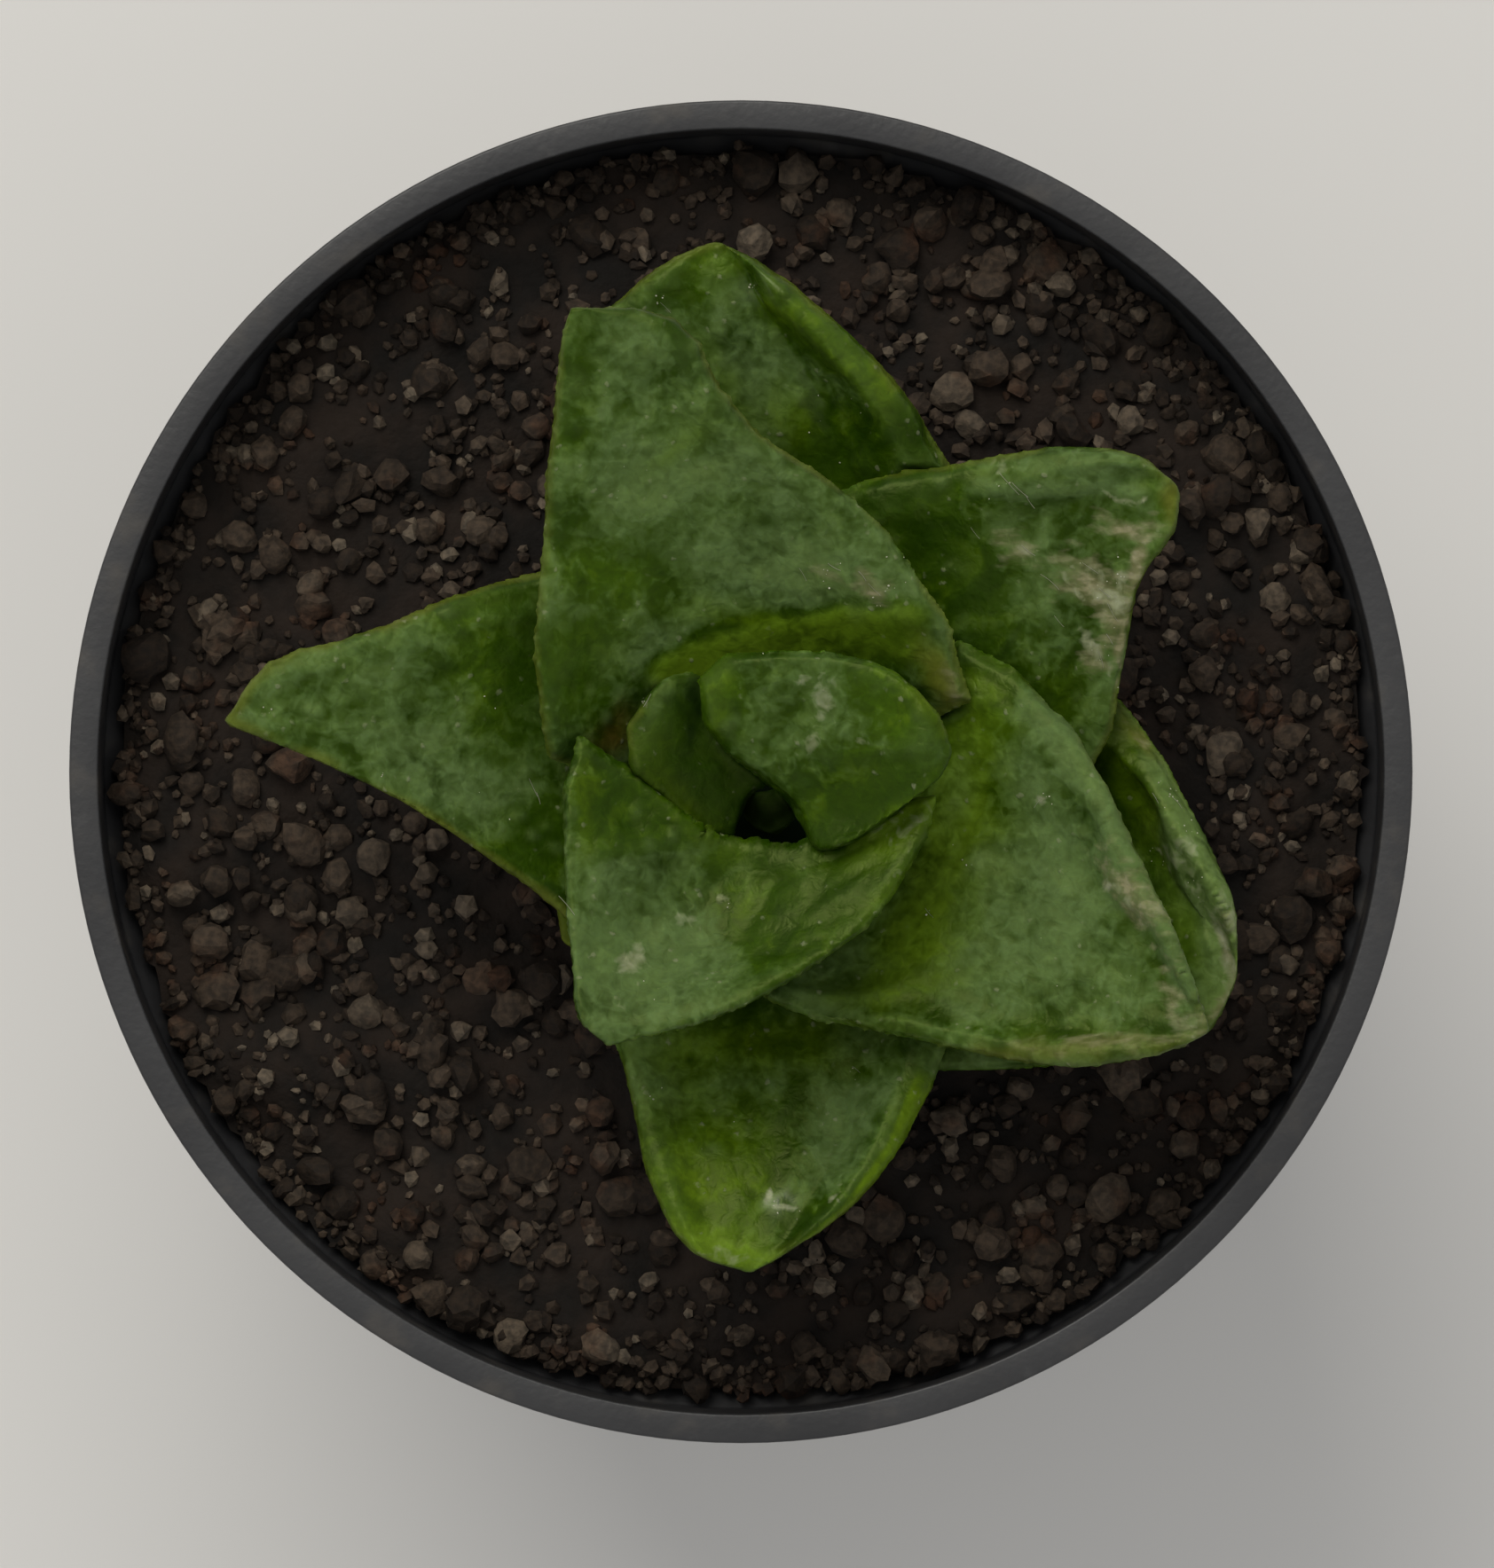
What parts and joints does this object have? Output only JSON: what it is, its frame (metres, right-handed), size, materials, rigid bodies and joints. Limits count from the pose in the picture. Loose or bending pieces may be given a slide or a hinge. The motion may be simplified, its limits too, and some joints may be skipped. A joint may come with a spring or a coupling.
{
  "type": "potted succulent",
  "caption": "Small succulent rosette of thick keeled triangular leaves around a narrow well, rooted in gritty soil in a plain round nursery pot.",
  "frame": {"origin": "centre of the pot's underside, on the surface that it stands on", "axes": "+Z up, out of the pot; +X to the right and +Y up in a view from straight above"},
  "size_m": [0.055, 0.055, 0.0598],
  "materials": {
    "pot": "moulded, slightly satin",
    "stem": "fleshy root, matt",
    "soil": "loose dark grit",
    "leaf": "waxy, semi-matt, with a thin pale bloom"
  },
  "bodies": {
    "root": {"pot": "pot", "stem": "stem", "soil": "soil", "leaf_01": "leaf", "leaf_02": "leaf", "leaf_03": "leaf", "leaf_04": "leaf", "leaf_05": "leaf", "leaf_06": "leaf", "leaf_07": "leaf", "leaf_08": "leaf", "leaf_09": "leaf", "leaf_10": "leaf", "leaf_11": "leaf", "leaf_12": "leaf"}
  },
  "joints": []
}
